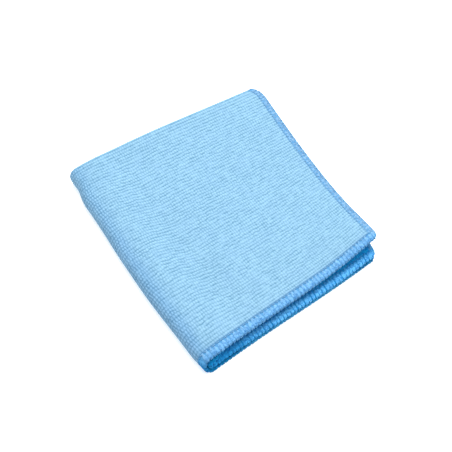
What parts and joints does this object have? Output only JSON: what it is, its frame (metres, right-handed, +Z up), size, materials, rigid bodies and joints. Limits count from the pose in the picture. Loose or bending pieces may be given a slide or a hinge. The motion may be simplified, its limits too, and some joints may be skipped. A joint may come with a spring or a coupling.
{
  "type": "microfibre cloth",
  "caption": "Square ribbed microfibre cloth with an overlocked edge, folded in four and lying flat, for wiping, dusting and drying.",
  "frame": {"origin": "on the surface that the cloth lies on, under the middle of its outline", "axes": "+X along the front hems to the right, +Y to the back fold, +Z up; the second fold is at the left"},
  "size_m": [0.1563, 0.1744, 0.0166],
  "materials": {
    "cloth": "soft ribbed pile, matt"
  },
  "bodies": {
    "root": {"cloth": "cloth"}
  },
  "joints": []
}
